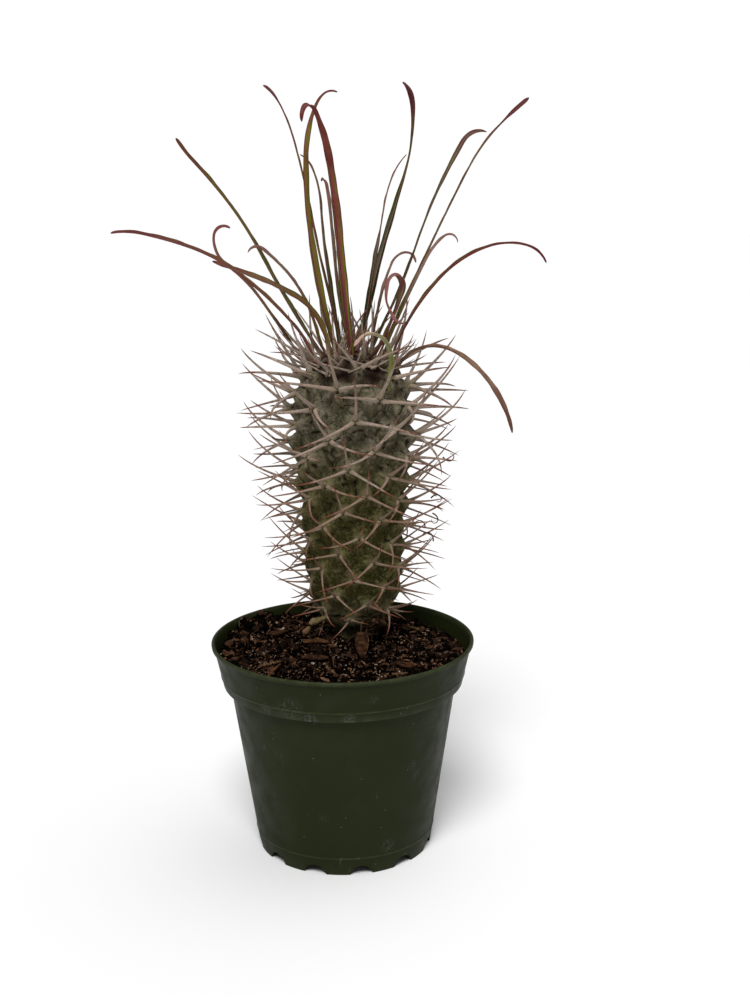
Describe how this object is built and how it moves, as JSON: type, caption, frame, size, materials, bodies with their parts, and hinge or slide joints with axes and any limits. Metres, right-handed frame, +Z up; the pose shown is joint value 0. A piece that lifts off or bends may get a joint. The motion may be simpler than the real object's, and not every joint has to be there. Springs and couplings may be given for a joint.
{
  "type": "potted madagascar palm",
  "caption": "Young Madagascar palm: thick grey-green spiny stem with a crown of narrow curling leaves, in a plain dark green nursery pot of soil.",
  "frame": {"origin": "centre of the pot's foot, on the surface that the pot stands on", "axes": "+Z up along the pot's axis; -Y is the front that the picture shows, +X to its right"},
  "size_m": [0.2596, 0.2144, 0.4778],
  "materials": {
    "pot_plastic": "matt, dusty",
    "soil": "damp potting mix",
    "stem_skin": "felted, wrinkled",
    "spine": "felted, with brown tips",
    "leaf_blade": "satin",
    "dry_leaf": "dry",
    "bark": "rough",
    "stick": "rough"
  },
  "bodies": {
    "root": {"pot": "pot_plastic", "soil": "soil", "stem": "stem_skin", "leaf_01": "leaf_blade", "leaf_02": "leaf_blade", "leaf_03": "leaf_blade", "leaf_04": "leaf_blade", "leaf_05": "leaf_blade", "leaf_06": "leaf_blade", "leaf_07": "leaf_blade", "leaf_08": "leaf_blade", "leaf_09": "leaf_blade", "leaf_10": "leaf_blade", "leaf_11": "leaf_blade", "leaf_12": "leaf_blade", "leaf_13": "leaf_blade", "leaf_14": "leaf_blade", "leaf_15": "leaf_blade", "leaf_16": "leaf_blade", "leaf_17": "leaf_blade", "leaf_18": "leaf_blade", "leaf_19": "dry_leaf", "leaf_20": "leaf_blade", "bark_01": "bark", "bark_02": "bark", "bark_03": "bark", "bark_04": "bark", "stick_01": "stick", "stick_02": "stick", "stick_03": "stick", "stick_04": "stick"}
  },
  "joints": []
}
